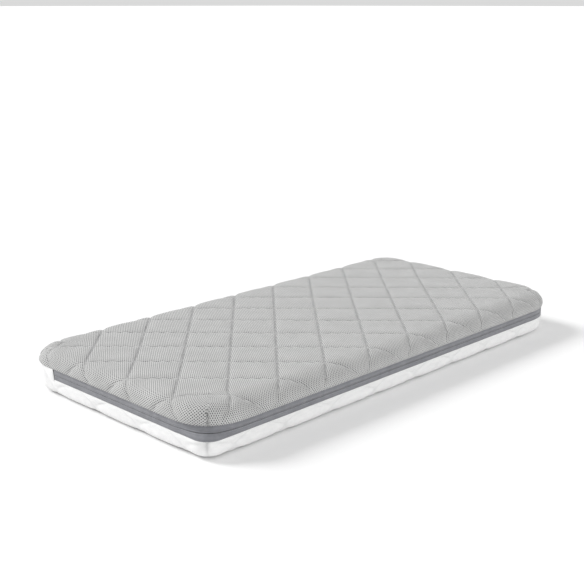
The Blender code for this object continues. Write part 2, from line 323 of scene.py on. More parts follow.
def snap_to_lines(p, q, profile, first_x, first_y):
    """Moves the grid points nearest each quilting line on to it, so that the seams run clean."""
    step_q = np.gradient(q, axis=1)
    for _ in range(3):
        _, _, _, u, v = wrap(p, q, profile)
        one, two = quilt_lines(u, v, first_x, first_y)
        off_one, off_two = one - np.round(one), two - np.round(two)
        reach = 0.52 * np.abs(step_q) / DIAMOND_Y
        near_one, near_two = np.abs(off_one) <= reach, np.abs(off_two) <= reach
        both = near_one & near_two
        move_q = np.where(near_one, off_one, np.where(near_two, off_two, 0)) * DIAMOND_Y
        move_q = np.where(both, (off_one + off_two) / 2 * DIAMOND_Y, move_q)
        move_p = np.where(both, (off_two - off_one) / 2 * DIAMOND_X, 0)
        inside = np.zeros(p.shape, bool)
        inside[2:-2, 2:-2] = True
        corner = (np.abs(p) > CORE_X) & (np.abs(q) > CORE_Y)
        on_core = (np.abs(np.abs(p) - CORE_X) < 1e-6) | (np.abs(np.abs(q) - CORE_Y) < 1e-6)
        free = inside & ~corner & ~on_core
        p, q = p + np.where(free, move_p, 0), q + np.where(free, move_q, 0)
    return p, q


def puckers(one, two, spread, cell, seed):
    """Small gathers that run off each stitch line and fade out at about this spread."""
    total = 0
    for line, other, line_seed in ((one, two, seed), (two, one, seed + 1)):
        number = np.round(line)
        off = (line - number) / LINE_DENSITY
        run = other / LINE_DENSITY + 1.7 * number
        gather = lumps(run, 0.31 * number + 0.3 * off + 2 * (off > 0), cell, line_seed)
        total = total + gather * np.exp(-np.abs(off) / spread) * np.minimum(1, np.abs(off) / (3 * MM))
    return total


def seam_shade_weight(line, spread):
    """A weight for painted seam shade, from 0 to 1: 1 on the nearest stitch line of one family, falling off
    over this spread.
    """
    return np.exp(-((line - np.round(line)) / LINE_DENSITY / spread) ** 2)


def pillow_plumpness(one, two, seed):
    """A slightly different fullness for each pillow."""
    table = np.random.RandomState(seed).uniform(0.90, 1.06, (64, 64))
    return table[np.floor(one).astype(int) % 64, np.floor(two).astype(int) % 64]


def sewn_dart(turn, along, arc_end, depth, length):
    """The groove of the short dart that takes up the cloth at each corner, next to the zip."""
    off = np.where(turn >= 0, np.abs(turn - math.pi / 4), math.inf) * SHOULDER
    groove = np.exp(-(off / DART_WIDTH) ** 2)
    return -depth * groove * smooth_step(along, arc_end - length, arc_end - length / 2)


def knit_material(name):
    """Fine white double-jersey knit: matt, softly fuzzy, with rows of tiny stitches."""
    made = new_material(name, roughness=0.88, sheen=0.35, specular=0.25)
    cloth = add_node(made, "Attribute", {"attribute_name": "cloth_mm"}).outputs["Vector"]
    split = add_node(made, "SeparateXYZ", inputs={"Vector": cloth})
    waves = []
    # Stitches 1.9 mm wide and 1.5 mm high; real ones are about 1 mm, drawn coarser so that they show.
    for axis, pitch in (("X", 1.9), ("Y", 1.5)):
        phase = add_node(made, "Math", {"operation": 'MULTIPLY'},
                         {0: split.outputs[axis], 1: 2 * math.pi / pitch})
        waves.append(add_node(made, "Math", {"operation": 'SINE'}, {0: phase}))
    stitches = add_node(made, "Math", {"operation": 'MULTIPLY'}, {0: waves[0], 1: waves[1]})
    soft = add_node(made, "TexNoise",
                    inputs={"Vector": cloth, "Scale": 0.05, "Detail": 6.0, "Roughness": 0.65})
    height = add_node(made, "Math", {"operation": 'MULTIPLY_ADD'},
                      {0: stitches, 1: 0.22, 2: soft.outputs["Fac"]})
    ramp = add_node(made, "ValToRGB", inputs={"Fac": height})
    knit = set_ramp(ramp, (0.20, "#E6E6E6"), (0.45, "#F0F0F0"), (0.75, "#F7F7F6"))
    # Along the seams and in the darts the knit is painted a little darker: painted shade in their grooves.
    colour = add_node(made, "Mix", {"data_type": 'RGBA'},
                      {0: split.outputs["Z"], 6: knit, 7: linear("#C4C4C5")})
    bump = add_node(made, "Bump", inputs={"Height": height, "Strength": 0.55, "Distance": 0.6 * MM})
    return finish_surface(made, colour.outputs[2], bump)


def base_profile(rim_reach, under_z, thickness):
    """Section of the base cover: flat below, round at the bottom edge, then up the side."""
    edge = BASE_EDGE_Z - under_z
    rim = rim_reach - thickness
    return profile_of([(0, under_z + thickness)],
                      curve_points((rim - edge + thickness, under_z + thickness),
                                   (rim - edge * 0.42, under_z + thickness),
                                   (rim - 1.0 * MM, BASE_EDGE_Z - edge * 0.58),
                                   (rim - 1.0 * MM, BASE_EDGE_Z), 16),
                      [(rim, SEAM_Z)])


def draw_corners(place):
    """Draws the cover's left corners out: the front one below the zip, the back one all the way up."""
    off = np.maximum(np.abs(place[..., :2]) - (CORE_X, CORE_Y), 0)
    reach = np.maximum(np.hypot(off[..., 0], off[..., 1]), 1e-6)
    cosine, sine = off[..., 0] / reach, off[..., 1] / reach
    front = place[..., 1] < 0
    radius = np.where(front, FRONT_LOW_RADIUS, BACK_LOW_RADIUS)
    inset = SHOULDER - radius
    larger, smaller = np.maximum(cosine, sine), np.minimum(cosine, sine)
    square = np.maximum(radius ** 2 - inset ** 2 * (1 - 2 * cosine * sine), 0)
    sharp = np.where(smaller * SHOULDER < inset * larger, 1 / np.maximum(larger, 0.5),
                     (inset * (cosine + sine) + np.sqrt(square)) / SHOULDER)
    fill = 1 + CORNER_FILL * (2 * cosine * sine) ** 2
    low = 1 - np.where(front, smooth_step(place[..., 2], *FRONT_LOW_END),
                       smooth_step(place[..., 2], *BACK_LOW_END))
    share = np.maximum(sharp / fill - 1, 0) * low * np.minimum(reach / 0.1, 1) ** 2
    share = share * (place[..., 0] < 0) * (smaller > 0)
    drawn = place.copy()
    drawn[..., :2] += np.sign(place[..., :2]) * off * share[..., None]
    return drawn


def surface_normals(place):
    """Unit normals of a grid of points, pointing out of the mattress on the upper side."""
    normal = np.cross(np.gradient(place, axis=0), np.gradient(place, axis=1))
    return normal / np.maximum(np.linalg.norm(normal, axis=-1, keepdims=True), 1e-12)


def stop_at_zip(place):
    """Lowers the side's upper part to the zip's lower edge wherever the zip runs."""
    share = (ZIP_LOW_Z - BASE_EDGE_Z) / (SEAM_Z - BASE_EDGE_Z)
    above = np.maximum(place[..., 2] - BASE_EDGE_Z, 0)
    where = 1 - smooth_step(place[..., 1], ZIP_END_Y - 4 * MM, ZIP_END_Y)
    lowered = place.copy()
    lowered[..., 2] -= above * (1 - share) * where
    return lowered


section = base_profile(BAND_REACH, BASE_UNDER_Z, 0.0)
p, q = cloth_grid(section[0][-1], BASE_STEP)
p, q = snap_to_lines(p, q, section, BASE_FIRST_X, BASE_FIRST_Y)
valley, along, turn, u, v = wrap(p, q, section)
one, two = quilt_lines(u, v, BASE_FIRST_X, BASE_FIRST_Y)
plumpness = pillow_plumpness(one, two, 11)
to_rim = section[0][-1] - along
height = (BASE_LOFT * pillow(one, two, BASE_STEEPNESS, BASE_CROWN) * plumpness
          + PUCKER * puckers(one, two, 10 * MM, 12 * MM, 21) + 0.25 * MM * lumps(u, v, 0.02, 23))
dart = sewn_dart(turn, along, section[0][-1], BASE_DART, BASE_DART_LENGTH)
height = height * smooth_step(to_rim, 0, 14 * MM) + dart
out = surface_normals(valley)
outer = valley - out * height[..., None]
outer[..., 2] = np.maximum(outer[..., 2], 0.15 * MM * (1 + lumps(u, v, 0.03, 24)))
inner = wrap(p, q, base_profile(BAND_REACH, BASE_UNDER_Z, BASE_THICKNESS))[0]
outer, inner = (draw_corners(stop_at_zip(side)) for side in (outer, inner))
# Painted shade for the knit: a little along the seams, more in the darts.
bond_dots_and_seam_shade = 0.2 * np.maximum(seam_shade_weight(one, 2.6 * MM), seam_shade_weight(two, 2.6 * MM))
bond_dots_and_seam_shade = np.maximum(bond_dots_and_seam_shade, -0.8 * dart / BASE_DART)
base_quilt = closed_shell("base_quilted_cover", outer, inner,
                          knit_material("polyester double-jersey knit, quilted"),
                          cloth=(u, v), bond_dots_and_seam_shade=bond_dots_and_seam_shade, upside_down=True)
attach(base_quilt, "base")
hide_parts("cover_base_knit", "cover_base_wadding")


# ------------------------ top cover
# The upper half of the cover: grey polyester spacer mesh quilted on wadding in large diamonds.
# With the zip open the real cover folds back about a line between the zip's two ends; here it is built
# closed, and nothing folds it.
TOP_FIRST_X, TOP_FIRST_Y = 0.0266, 0.0536
TOP_STEP = 3.2 * MM
TOP_VALLEY_Z = 0.0954  # height of the stitch lines
TOP_LOFT = 4.5 * MM  # the pillows stand this far above the stitch lines
TOP_UNDER = 5.8 * MM  # the inner face lies this far below the stitch lines
TOP_EDGE_THICKNESS = 3.0 * MM  # it is squeezed to this at the seams
BROAD_SHOULDER = (0.066, 0.092, 0.015)  # on the long sides
TIGHT_SHOULDER = (0.086, 0.108, 0.007)  # at the short sides
TOP_DART, TOP_DART_LENGTH = 2.2 * MM, 34 * MM
TOP_STEEPNESS, TOP_CROWN = 10.0, 0.16  # of its pillows
KNOT, KNOT_REACH = 0.6 * MM, 7 * MM  # where two stitch lines cross, the cloth is bunched up
FULLNESS, FULLNESS_AT, FULLNESS_REACH = 3 * MM, 0.103, 0.024  # the corners' extra roundness
SLOT_PITCH, SLOT_ROW = 4.6, 3.3  # of the mesh's open slots, in mm
TOP_SEAM_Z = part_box("cover_top_mesh_flap")[0][2]


def mesh_material(name):
    """Spacer mesh, warp knitted: matt, with staggered open slots, coloured near-black as painted shade in
    the holes.
    """
    made = new_material(name, roughness=0.75, sheen=0.25, specular=0.3)
    cloth = add_node(made, "Attribute", {"attribute_name": "cloth_mm"}).outputs["Vector"]
    drift = add_node(made, "TexNoise", inputs={"Vector": cloth, "Scale": 0.06, "Detail": 3.0})
    shift = add_node(made, "VectorMath", {"operation": 'MULTIPLY_ADD'},
                     {0: drift.outputs["Color"], 1: (2.0, 2.0, 0), 2: cloth})
    split = add_node(made, "SeparateXYZ", inputs={"Vector": shift})

    # Slots 2.6 by 1.9 mm in staggered rows: each row is half a pitch on from the last.
    rows = add_node(made, "Math", {"operation": 'DIVIDE'}, {0: split.outputs["Y"], 1: SLOT_ROW})
    number = add_node(made, "Math", {"operation": 'FLOOR'}, {0: rows})
    odd = add_node(made, "Math", {"operation": 'MODULO'}, {0: number, 1: 2.0})
    slots = add_node(made, "Math", {"operation": 'DIVIDE'}, {0: split.outputs["X"], 1: SLOT_PITCH})
    staggered = add_node(made, "Math", {"operation": 'MULTIPLY_ADD'}, {0: odd, 1: 0.5, 2: slots})
    squares = []
    for place, size in ((staggered, SLOT_PITCH / 0.98), (rows, SLOT_ROW / 1.32)):
        for operation, number in (('FRACT', 0.0), ('SUBTRACT', 0.5), ('MULTIPLY', size)):
            place = add_node(made, "Math", {"operation": operation}, {0: place, 1: number})
        squares.append(add_node(made, "Math", {"operation": 'MULTIPLY'}, {0: place, 1: place}))
    total = add_node(made, "Math", {"operation": 'ADD'}, {0: squares[0], 1: squares[1]})
    off = add_node(made, "Math", {"operation": 'SQRT'}, {0: total})
    yarn = add_node(made, "MapRange", {"interpolation_type": 'SMOOTHSTEP'},
                    {"Value": off, "From Min": 0.70, "From Max": 1.25}).outputs["Result"]
    tone = add_node(made, "TexNoise", inputs={"Vector": cloth, "Scale": 0.02, "Detail": 4.0})
    shade = add_node(made, "ValToRGB", inputs={"Fac": tone.outputs["Fac"]})
    thread = set_ramp(shade, (0.35, "#C2C2C1"), (0.65, "#CACAC9"))
    # The slots are real openings; their near-black colour is painted shade in the holes.
    colour = add_node(made, "Mix", {"data_type": 'RGBA'}, {0: yarn, 6: linear("#424346"), 7: thread})
    # Close to the stitch lines and in the darts the mesh is painted darker: painted shade in their grooves.
    close = add_node(made, "Math", {"operation": 'POWER'}, {0: split.outputs["Z"], 1: 2.2})
    share = add_node(made, "Math", {"operation": 'MULTIPLY'}, {0: close, 1: 0.78})
    tight = add_node(made, "Mix", {"data_type": 'RGBA'},
                     {0: share, 6: colour.outputs[2], 7: linear("#626365")})
    bump = add_node(made, "Bump", inputs={"Height": yarn, "Strength": 0.8, "Distance": 0.8 * MM})
    return finish_surface(made, tight.outputs[2], bump)


def top_profile(drop, narrow, shoulder):
    """Section of the top cover along its stitch lines: flat, then a shoulder down to the zip.

    shoulder is where it starts to bend, how far it leans and how deep its roundness is.
    """
    start, lean, depth = shoulder
    top, rim = TOP_VALLEY_Z - drop, BAND_REACH - narrow
    bend = curve_points((start, top), (lean, top), (rim, top - depth), (rim, TOP_SEAM_Z))
    return profile_of([(0, top)], bend)


def wrap_top(p, q, drop, narrow):
    """Lays (p, q) on the top cover's shape, whose shoulder is tighter at the two short sides."""
    broad = top_profile(drop, narrow, BROAD_SHOULDER)
    arc, reaches, heights = top_profile(drop, narrow, TIGHT_SHOULDER)
    place, along, turn, u, v = wrap(p, q, broad)
    tight = wrap(p, q, (arc * broad[0][-1] / arc[-1], reaches, heights))[0]
    share = np.where(turn >= 0, np.cos(turn) ** 2, np.abs(p) > CORE_X)
    return place + (tight - place) * share[..., None], along, turn, u, v


section = top_profile(0.0, 0.0, BROAD_SHOULDER)
p, q = cloth_grid(section[0][-1], TOP_STEP)
p, q = snap_to_lines(p, q, section, TOP_FIRST_X, TOP_FIRST_Y)
valley, along, turn, u, v = wrap_top(p, q, 0.0, 0.0)
one, two = quilt_lines(u, v, TOP_FIRST_X, TOP_FIRST_Y)
to_rim = section[0][-1] - along
plumpness = pillow_plumpness(one, two, 31)
crossing = (one - np.round(one)) ** 2 + (two - np.round(two)) ** 2
crossing = np.exp(-crossing / (LINE_DENSITY * KNOT_REACH) ** 2)
fullness = np.where(turn >= 0, np.sin(2 * turn) ** 2, 0)
fullness = FULLNESS * fullness * np.exp(-((along - FULLNESS_AT) / FULLNESS_REACH) ** 2)
height = (TOP_LOFT * pillow(one, two, TOP_STEEPNESS, TOP_CROWN) * plumpness
          + PUCKER * puckers(one, two, 9 * MM, 9 * MM, 41)
          + KNOT * crossing + 0.3 * MM * lumps(u, v, 0.025, 43))
dart = sewn_dart(turn, along, section[0][-1], TOP_DART, TOP_DART_LENGTH)
# Painted shade for the mesh along the seams and in the darts, less of it over the shoulder.
bond_dots_and_seam_shade = np.maximum(seam_shade_weight(one, 2.8 * MM), 0.65 * seam_shade_weight(two, 2.4 * MM))
bond_dots_and_seam_shade = bond_dots_and_seam_shade * (1 - 0.6 * smooth_step(along, 0.080, 0.112))
bond_dots_and_seam_shade = np.maximum(bond_dots_and_seam_shade, -0.9 * dart / TOP_DART)
height = (height + fullness) * np.sqrt(np.clip(to_rim / (11 * MM), 0, 1)) + dart
outer = draw_corners(valley + surface_normals(valley) * height[..., None])
inner = draw_corners(wrap_top(p, q, TOP_UNDER, TOP_EDGE_THICKNESS)[0])
# Each square of the grid is cut in two along the diagonal that lies closest to a stitch line.
near_one = np.abs(one - np.round(one))
near_two = np.abs(two - np.round(two))
rising = (near_one[:-1, :-1] + near_one[1:, 1:]) < (near_two[1:, :-1] + near_two[:-1, 1:])
top_quilt = closed_shell("top_quilted_cover", outer, inner,
                         mesh_material("polyester spacer mesh, warp knitted"),
                         rising=rising, cloth=(u, v), bond_dots_and_seam_shade=bond_dots_and_seam_shade)
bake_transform(top_quilt)
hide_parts("cover_top_mesh_flap", "cover_top_mesh_back", "cover_top_wadding_flap",
            "cover_top_wadding_back")


# ------------------------ linings
# Thin white nonwoven polypropylene, point bonded, that closes the wadding on the inside of each
# half of the cover.  It is quilted together with it, and shows only with the cover open.
LINING = 0.5 * MM  # its thickness
LINING_GAP = 0.4 * MM
LINING_STEP = 7 * MM
BOND_PITCH = 2.0 * MM  # between the bond points


def nonwoven_material(name):
    """Point-bonded nonwoven: white, slightly shiny fibres with a grid of tiny dots, bonded by pressing."""
    made = new_material(name, roughness=0.6, sheen=0.2, specular=0.4)
    place = add_node(made, "TexCoord").outputs["Object"]
    dots = add_node(made, "TexVoronoi", {"feature": 'F1'},
                    {"Vector": place, "Scale": 1 / BOND_PITCH, "Randomness": 0.15})
    fibres = add_node(made, "TexNoise", inputs={"Vector": place, "Scale": 900.0, "Detail": 4.0})
    bond_dots_and_seam_shade = add_node(made, "MapRange", {"interpolation_type": 'SMOOTHSTEP'},
                       {"Value": dots.outputs["Distance"], "From Min": 0.15, "From Max": 0.40})
    ramp = add_node(made, "ValToRGB", inputs={"Fac": fibres.outputs["Fac"]})
    colour = add_node(made, "Mix", {"data_type": 'RGBA'},
                      {0: bond_dots_and_seam_shade, 6: linear("#DADCDC"),
                       7: set_ramp(ramp, (0.35, "#E6E7E7"), (0.65, "#F5F5F5"))})
    bump = add_node(made, "Bump", inputs={"Height": bond_dots_and_seam_shade, "Strength": 0.5, "Distance": 0.2 * MM})
    return finish_surface(made, colour.outputs[2], bump)


def lining_sheet(name, arc_end, lay_face, lay_back, first_x, first_y, upside_down, seed):
    """One lining between two shapes, drawn in a little where the quilting stitches go through.

    lay_face and lay_back lay the flat cloth's points on its inner and outer face.
    """
    p, q = cloth_grid(arc_end, LINING_STEP)
    inner, along, _, u, v = lay_face(p, q)
    outer = lay_back(p, q)[0]
    one, two = quilt_lines(u, v, first_x, first_y)
    slack = (1 - pillow(one, two, 3.0, 0.0)) * 0.4 * MM + 0.25 * MM * lumps(u, v, 0.03, seed)
    shift = np.maximum(slack, 0) * smooth_step(arc_end - along, 0, 0.02)
    for side in (inner, outer):
        side[..., 2] += shift * (-1 if upside_down else 1)
    return closed_shell(name, outer, inner, nonwoven, cloth=(u, v), upside_down=upside_down)


nonwoven = nonwoven_material("polypropylene nonwoven, point bonded")
gap, edge_gap = TOP_UNDER + LINING_GAP, TOP_EDGE_THICKNESS + LINING_GAP
top_arc = top_profile(gap + LINING, edge_gap + LINING, BROAD_SHOULDER)[0][-1]
top_lining = lining_sheet("top_cover_lining", top_arc,
                          lambda p, q: wrap_top(p, q, gap + LINING, edge_gap + LINING),
                          lambda p, q: wrap_top(p, q, gap, edge_gap),
                          TOP_FIRST_X, TOP_FIRST_Y, upside_down=False, seed=51)
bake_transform(top_lining)
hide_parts("cover_top_lining_flap", "cover_top_lining_back")

base_gap = BASE_THICKNESS + LINING_GAP
base_face = base_profile(BAND_REACH, BASE_UNDER_Z, base_gap + LINING)
base_back = base_profile(BAND_REACH, BASE_UNDER_Z, base_gap)
base_lining = lining_sheet("base_cover_lining", base_face[0][-1],
                           lambda p, q: wrap(p, q, base_face), lambda p, q: wrap(p, q, base_back),
                           BASE_FIRST_X, BASE_FIRST_Y, upside_down=True, seed=52)
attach(base_lining, "base")
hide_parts("cover_base_lining")


# ------------------------ quilting thread
# Lock stitches of fine polyester thread along every quilting line of the top cover, over the mesh
# and down through the wadding to the lining.
STITCH_LENGTH, STITCH_PITCH = 3.6 * MM, 4.6 * MM
THREAD_RADIUS = 0.45 * MM  # real thread is a third of this; drawn thicker to show
MOST_JUMP = 12 * MM  # a longer gap between two points ends a line


def thread_material(name, light, shade):
    """Twisted polyester thread: satin, with a fine slanting twist."""
    made = new_material(name, roughness=0.45, sheen=0.2, specular=0.5)
    place = add_node(made, "TexCoord").outputs["Object"]
    # A twist drawn coarser than the real one, so that it shows.
    twist = add_node(made, "TexWave", {"bands_direction": 'DIAGONAL'},
                     {"Vector": place, "Scale": 1 / (2.2 * MM), "Distortion": 1.0})
    ramp = add_node(made, "ValToRGB", inputs={"Fac": twist.outputs["Fac"]})
    return finish_surface(made, set_ramp(ramp, (0.2, shade), (0.8, light)))


def trace_lines(values, place, normal):
    """Follows every whole number of values over the grid: a list of (points, normals)."""
    found = []
    for number in range(int(values.min()), int(values.max()) + 1):
        off = values - number
        rows, columns = np.nonzero((off[:, :-1] < 0) != (off[:, 1:] < 0))
        share = off[rows, columns] / (off[rows, columns] - off[rows, columns + 1])
        points = place[rows, columns] + (place[rows, columns + 1] - place[rows, columns]) * share[:, None]
        rises = normal[rows, columns]
        run = []
        for k in range(len(points)):
            if run and rows[k] == rows[run[-1]]:
                continue
            if run and np.linalg.norm(points[k] - points[run[-1]]) > MOST_JUMP:
                found.append((points[run], rises[run]))
                run = []
            run.append(k)
        found.append((points[run], rises[run]))
    return [line for line in found if len(line[0]) > 6]


def stitches(lines, radius, length, pitch):
    """Points and faces of stitches along lines, each a short thread that dips in at its ends."""
    sides = [(4 * ring + k, 4 * ring + (k + 1) % 4, 4 * ring + 4 + (k + 1) % 4, 4 * ring + 4 + k)
             for ring in range(3) for k in range(4)]
    pattern = np.array(sides + [(3, 2, 1, 0), (12, 13, 14, 15)])
    points, faces, count = [], [], 0
    for line, rises in lines:
        reach = np.concatenate([[0], np.cumsum(np.linalg.norm(np.diff(line, axis=0), axis=1))])
        starts = np.arange(pitch, reach[-1] - pitch, pitch)
        rings = []
        for share, lift in ((0.0, -0.9), (0.25, 0.7), (0.75, 0.7), (1.0, -0.9)):
            at = starts + share * length
            middle = np.stack([np.interp(at, reach, line[:, k]) for k in range(3)], -1)
            up = np.stack([np.interp(at, reach, rises[:, k]) for k in range(3)], -1)
            ahead = np.stack([np.interp(at + MM, reach, line[:, k]) for k in range(3)], -1) - middle
            side = np.cross(ahead, up)
            side /= np.maximum(np.linalg.norm(side, axis=1, keepdims=True), 1e-12)
            thin = radius * (0.6 if lift < 0 else 1.0)
            centre = middle + up * radius * lift
            rings.append(np.stack([centre + up * thin, centre + side * thin, centre - up * thin,
                                   centre - side * thin], 1))
        first = 16 * (count + np.arange(len(starts)))
        count += len(starts)
        faces.append((first[:, None, None] + pattern).reshape(-1, 4))
        points.append(np.stack(rings, 1).reshape(-1, 3))
    return np.concatenate(points), np.concatenate(faces).tolist()


top_normal = surface_normals(outer)
top_seams = trace_lines(one, outer, top_normal) + trace_lines(two, outer, top_normal)
top_thread = add_piece("top_quilting_thread",
                       *stitches(top_seams, THREAD_RADIUS, STITCH_LENGTH, STITCH_PITCH),
                       thread_material("polyester quilting thread, pale grey", "#E6E6E5", "#CBCBCA"))
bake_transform(top_thread)


# ------------------------ zip tapes
# Two dark grey woven polyester tapes that carry the zip round the left end, front and right end.
# Their outer edges are sewn to the covers with a row of stitches, and the coils sit behind them.
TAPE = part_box("zip_tape_upper")[1][2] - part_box("zip_tape_upper")[0][2]
TAPE_THICKNESS = 0.8 * MM
BAND_SPACING = 2.5 * MM
SEWN_IN = 2.6 * MM  # the stitch row's distance from the tape's outer edge
SEWING_RADIUS, SEWING_LENGTH, SEWING_PITCH = 0.3 * MM, 2.6 * MM, 3.4 * MM
BAND_WAVE = 0.45 * MM
STRAIGHT_TO = 0.202  # half the straight length at the short sides
SLIDER_RUN = 0.40  # from the zip's right end to the end of the slider's travel
EASE = 0.016  # the corners' curve is eased in over this length
RIB_PITCH, PICK_PITCH = 1.3 * MM, 1.6 * MM  # real picks are under 1 mm; drawn coarser to show


def band_route(reach, spacing, end_y):
    """The zip's way round the mattress at this reach: places, outward directions and lengths."""
    turns = np.linspace(0, math.pi / 2, 90)
    fill = 1 + CORNER_FILL * np.sin(2 * turns) ** 2 * (reach / SHOULDER) ** 2
    arc_x, arc_y = CORE_X + reach * fill * np.cos(turns), CORE_Y + reach * fill * np.sin(turns)
    arc_x += (CORE_X + reach - arc_x) * (1 - smooth_step(arc_y, STRAIGHT_TO, STRAIGHT_TO + EASE))
    back = arc_y <= end_y
    left = np.stack([-arc_x[back][::-1], arc_y[back][::-1]], -1)
    front_left = np.stack([-arc_x, -arc_y], -1)
    half = np.concatenate([left, front_left])
    route = np.concatenate([half, half[::-1] * (-1, 1)])
    lengths = np.concatenate([[0], np.cumsum(np.linalg.norm(np.diff(route, axis=0), axis=1))])
    at = np.linspace(0, lengths[-1], int(round(lengths[-1] / spacing)) + 1)
    places = np.stack([np.interp(at, lengths, route[:, k]) for k in range(2)], -1)
    ahead = np.gradient(places, axis=0)
    ahead /= np.linalg.norm(ahead, axis=1, keepdims=True)
    return places, np.stack([ahead[:, 1], -ahead[:, 0]], -1), at


def band_wave(at):
    """How far the band stands in or out along its way, straight where the slider runs."""
    fade = smooth_step(at, 0, 0.04) * smooth_step(at.max() - at, SLIDER_RUN, SLIDER_RUN + 0.04)
    wave = lumps(at, at * 0, 0.055, 61) + 0.5 * lumps(at, at * 0, 0.021, 62)
    return BAND_WAVE * fade * wave - 0.3 * MM


def swept(route, section):
    """Points and faces of a closed section of (outwards, up) points swept along a route."""
    places, outwards, at = route
    sides = len(section)
    off = section[None, :, 0] + band_wave(at)[:, None]
    flat = places[:, None] + outwards[:, None] * off[..., None]
    height = np.broadcast_to(section[None, :, 1], off.shape)
    points = draw_corners(np.concatenate([flat, height[..., None]], -1)).reshape(-1, 3)
    index = np.arange(len(points)).reshape(len(at), sides)
    after = np.roll(index, -1, axis=1)
    quads = np.stack([index[:-1], after[:-1], after[1:], index[1:]], -1).reshape(-1, 4)
    return points, quads.tolist() + [index[0, ::-1].tolist(), index[-1].tolist()]


def tape_material(name):
    """Woven polyester tape: satin herringbone ribs along its length, dyed dark grey."""
    made = new_material(name, roughness=0.62, sheen=0.3, specular=0.35)
    place = add_node(made, "TexCoord").outputs["Object"]
    split = add_node(made, "SeparateXYZ", inputs={"Vector": place})

    # Ribs run along the tape, crossed by picks that slant one way and then the other.
    rib_turn = add_node(made, "Math", {"operation": 'MULTIPLY'},
                        {0: split.outputs["Z"], 1: 2 * math.pi / RIB_PITCH})
    ribs = add_node(made, "Math", {"operation": 'SINE'}, {0: rib_turn})
    run = add_node(made, "Math", {"operation": 'SUBTRACT'},
                   {0: split.outputs["X"], 1: split.outputs["Y"]})
    slant = add_node(made, "Math", {"operation": 'PINGPONG'}, {0: split.outputs["Z"], 1: RIB_PITCH})
    slanted = add_node(made, "Math", {"operation": 'ADD'}, {0: run, 1: slant})
    pick_turn = add_node(made, "Math", {"operation": 'MULTIPLY'}, {0: slanted, 1: 2 * math.pi / PICK_PITCH})
    picks = add_node(made, "Math", {"operation": 'SINE'}, {0: pick_turn})
    half_ribs = add_node(made, "Math", {"operation": 'MULTIPLY'}, {0: ribs, 1: 0.5})
    weave = add_node(made, "Math", {"operation": 'MULTIPLY_ADD'}, {0: picks, 1: 0.35, 2: half_ribs})
    mottle = add_node(made, "TexNoise", inputs={"Vector": place, "Scale": 60.0, "Detail": 4.0})
    mixed = add_node(made, "Math", {"operation": 'MULTIPLY_ADD'},
                     {0: weave, 1: 0.12, 2: mottle.outputs["Fac"]})
    ramp = add_node(made, "ValToRGB", inputs={"Fac": mixed})
    bump = add_node(made, "Bump", inputs={"Height": weave, "Strength": 0.5, "Distance": 0.25 * MM})
    return finish_surface(made, set_ramp(ramp, (0.30, "#797A7F"), (0.70, "#87888D")), bump)


def tape_section(edge_z, way):
    """A tape's section from its sewn edge towards the zip's middle: way is 1 up or -1 down.

    Its points are (how far from the sewn edge, how far out) in mm: the stitch row and the edge
    of the coil's bed are sunk in, and the bed is a little proud.
    """
    wide, back = TAPE / MM, -TAPE_THICKNESS / MM
    face = [(0.0, -0.25), (0.5, 0.0), (2.1, 0.05), (SEWN_IN / MM, -0.30), (3.1, 0.05), (5.0, 0.12),
            (7.3, 0.05), (7.7, -0.28), (8.1, 0.10), (9.2, 0.22), (wide - 0.3, 0.10), (wide, -0.15)]
    rear = [(wide, back), (6.0, back), (0.0, back)]
    section = np.array([(out * MM, edge_z + way * up * MM) for up, out in face + rear])
    return section if way < 0 else section[::-1]


tape_look = tape_material("polyester zip tape, woven, dyed dark grey")
band_thread = thread_material("polyester sewing thread, dark grey", "#77787D", "#606166")
tape_route = band_route(BAND_REACH, BAND_SPACING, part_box("zip_tape_lower")[1][1])
places, outwards, at = tape_route
for which, edge_z, way in (("lower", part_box("zip_tape_lower")[0][2], 1),
                           ("upper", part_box("zip_tape_upper")[1][2], -1)):
    tape = add_piece(f"zip_tape_{which}_woven", *swept(tape_route, tape_section(edge_z, way)), tape_look)
    row = places + outwards * (band_wave(at) - 0.22 * MM)[:, None]
    row = draw_corners(np.concatenate([row, np.full((len(row), 1), edge_z + way * SEWN_IN)], 1))
    rises = np.concatenate([outwards, np.zeros((len(row), 1))], 1)
    sewing = add_piece(f"zip_tape_{which}_sewing",
                       *stitches([(row, rises)], SEWING_RADIUS, SEWING_LENGTH, SEWING_PITCH), band_thread)
    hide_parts(f"zip_tape_{which}")
    for piece in (tape, sewing):
        if which == "lower":
            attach(piece, "base")
        else:
            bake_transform(piece)


# ------------------------ zip coils
# Two nylon monofilament spirals, woven to the back of the tapes' facing edges, that mesh as the
# slider passes.  From outside only the thin parting line between the tapes shows.
COIL_THICKNESS, COIL_HEIGHT = 1.6 * MM, 3.0 * MM
COIL_PITCH = 2.6 * MM  # real turns are about 1.5 mm apart; drawn coarser
TURN_POINTS = 8
WIRE_RADIUS = 0.34 * MM
WIRE_SIDES = 5


def tube(line, radius, sides):
    """Points and faces of a round tube along a line of points, with closed ends."""
    ahead = np.gradient(line, axis=0)
    ahead /= np.linalg.norm(ahead, axis=1, keepdims=True)
    side = np.cross(ahead, (0.31, 0.17, 0.93))
    side /= np.linalg.norm(side, axis=1, keepdims=True)
    up = np.cross(side, ahead)
    turns = np.arange(sides) * 2 * math.pi / sides
    points = (line[:, None] + radius * (side[:, None] * np.cos(turns)[None, :, None]
                                        + up[:, None] * np.sin(turns)[None, :, None])).reshape(-1, 3)
    index = np.arange(len(points)).reshape(len(line), sides)
    after = np.roll(index, -1, axis=1)
    quads = np.stack([index[:-1], index[1:], after[1:], after[:-1]], -1).reshape(-1, 4)
    return points, quads.tolist() + [index[0].tolist(), index[-1, ::-1].tolist()]


